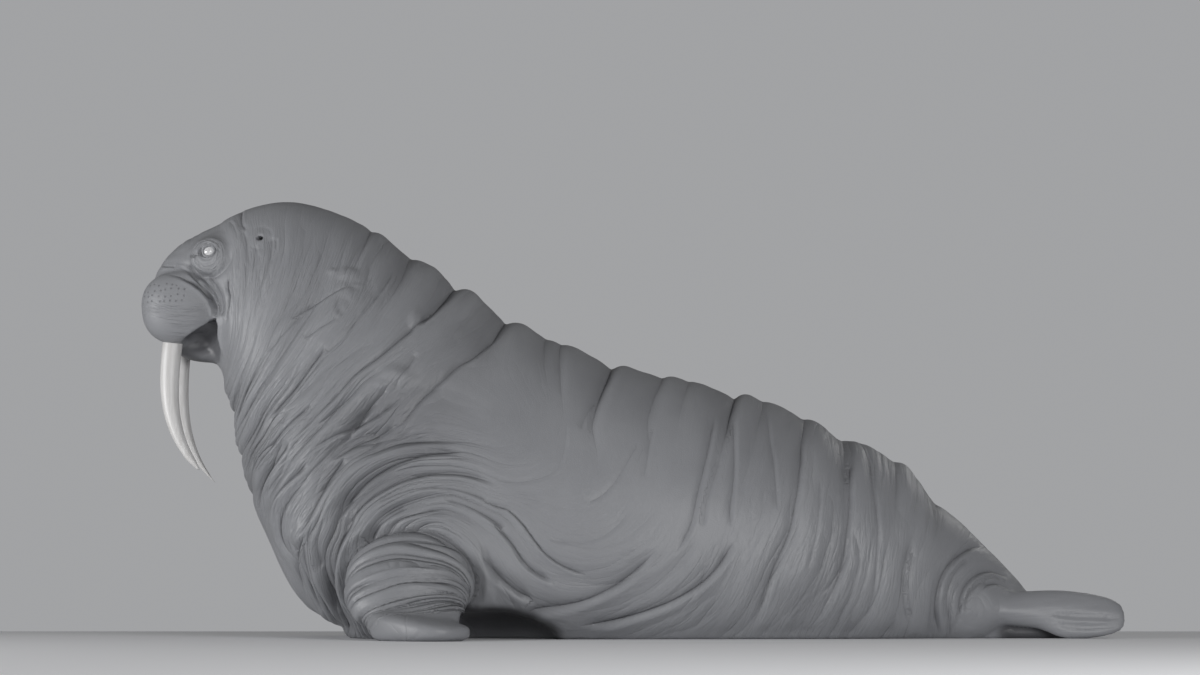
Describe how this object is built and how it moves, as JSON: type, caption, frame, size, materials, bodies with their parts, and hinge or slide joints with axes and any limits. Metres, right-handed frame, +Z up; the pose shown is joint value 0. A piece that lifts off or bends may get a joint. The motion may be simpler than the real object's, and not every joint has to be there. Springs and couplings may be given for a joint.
{
  "type": "walrus",
  "caption": "Life-size walrus bull lying on its belly with head and chest raised, long tusks, folded skin, fore flippers flat on the floor and hind flippers trailing behind.",
  "frame": {"origin": "on the floor under the middle of the animal's bounding box", "axes": "+Z up, -X the way the head points, -Y the animal's left side"},
  "size_m": [3.1747, 1.586, 1.4468],
  "materials": {
    "skin": "bare folded hide, matt, cool mid grey",
    "muzzle": "smooth bristle pads with fine pores, matt grey",
    "nose": "smooth hide, satin grey",
    "tusk": "polished ivory, satin",
    "eye": "wet and glossy"
  },
  "bodies": {
    "root": {"head": "skin", "nose": "nose", "muzzle_left": "muzzle", "muzzle_right": "muzzle", "lower_jaw": "skin", "tusk_left": "tusk", "tusk_right": "tusk", "eye_left": "eye", "eye_right": "eye", "ear_left": "skin", "ear_right": "skin", "neck": "skin", "chest": "skin", "torso": "skin", "rump": "skin", "tail": "skin", "forearm_left": "skin", "forearm_right": "skin", "foreflipper_left": "skin", "foreflipper_right": "skin", "ankle_left": "skin", "ankle_right": "skin", "hindflipper_left": "skin", "hindflipper_right": "skin"}
  },
  "joints": []
}
